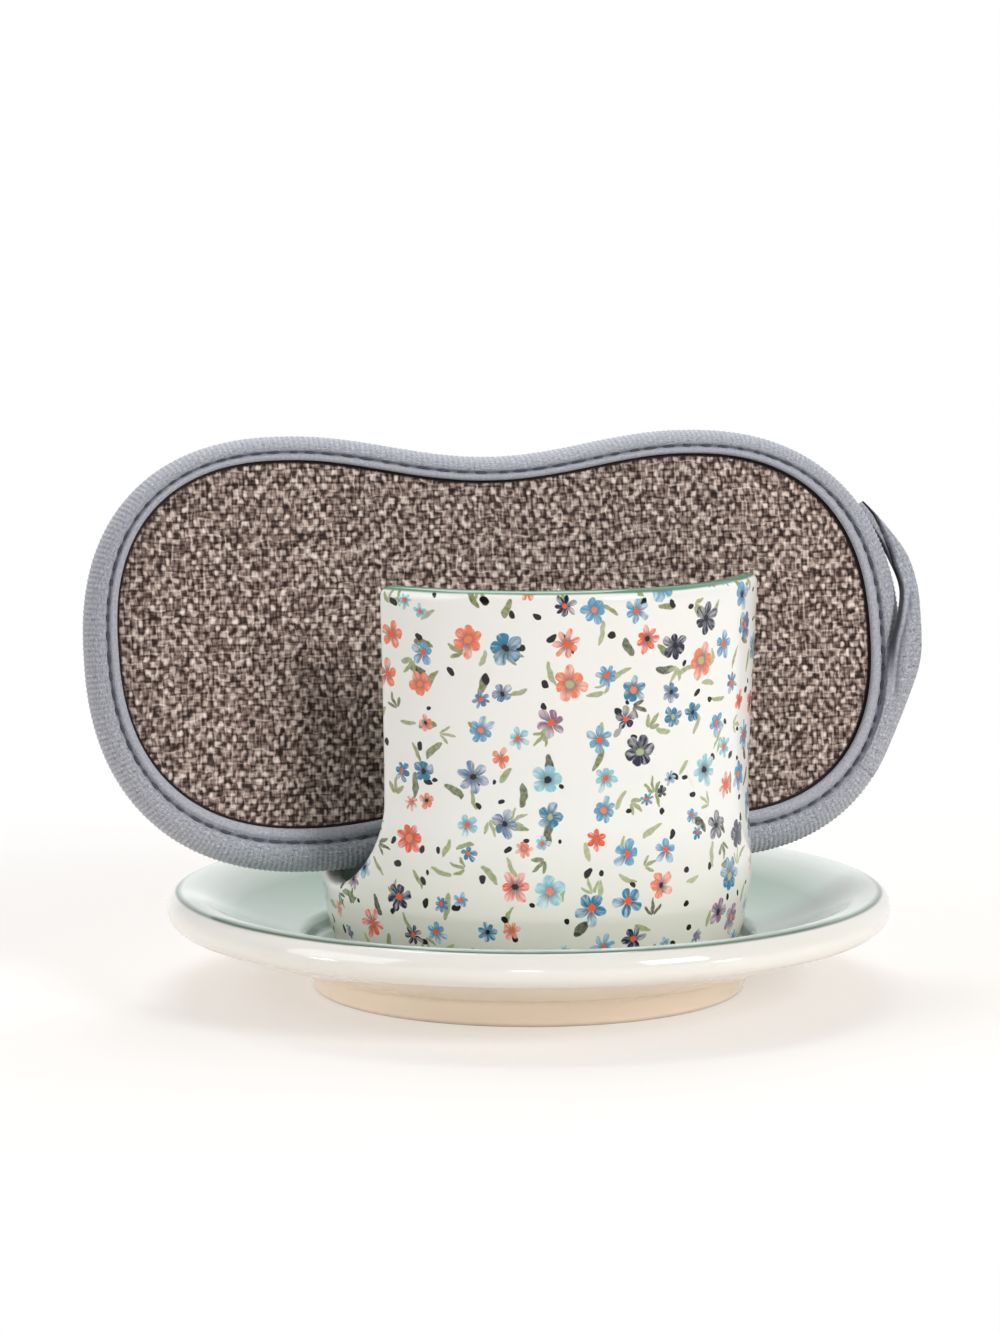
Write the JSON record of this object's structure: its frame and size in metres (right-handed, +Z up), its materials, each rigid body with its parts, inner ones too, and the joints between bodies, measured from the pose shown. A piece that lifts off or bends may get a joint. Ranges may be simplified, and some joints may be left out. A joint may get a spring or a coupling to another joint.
{
  "type": "sponge holder with scrub pad",
  "caption": "Glazed ceramic cup with a U-shaped slot, standing in a saucer with a well, that holds a bound and padded fabric scrub pad upright to drip dry.",
  "frame": {"origin": "middle of the set's bounding box, on the surface that the saucer's foot ring stands on", "axes": "+Z up, +X along the cup's slot towards the pad's looped end, +Y towards the rear wall that the pad leans against"},
  "size_m": [0.1838, 0.1592, 0.121],
  "materials": {
    "saucer_glaze": "gloss glaze, mint inside and cream outside",
    "cup_glaze": "gloss glaze over a small-flower print",
    "foam": "open-cell foam",
    "scrub_cloth": "coarse slub weave",
    "rear_cloth": "coarse slub weave",
    "edge_tape": "knitted tape",
    "loop_tape": "knitted tape",
    "sewing_thread": "twisted thread"
  },
  "bodies": {
    "saucer": {"saucer": "saucer_glaze"},
    "cup": {"holder_cup": "cup_glaze"},
    "pad": {"foam_core": "foam", "front_cloth": "scrub_cloth", "rear_cloth": "rear_cloth", "edge_binding": "edge_tape", "front_seam_thread": "sewing_thread", "rear_seam_thread": "sewing_thread", "hanging_loop": "loop_tape"}
  },
  "joints": [
    {"name": "cup_lift", "type": "slide", "parent": "saucer", "child": "cup", "axis": [0, 0, 1], "range_m": [0, 0.05]},
    {"name": "pad_lift", "type": "slide", "parent": "cup", "child": "pad", "axis": [0, 0, 1], "range_m": [0, 0.08]}
  ]
}
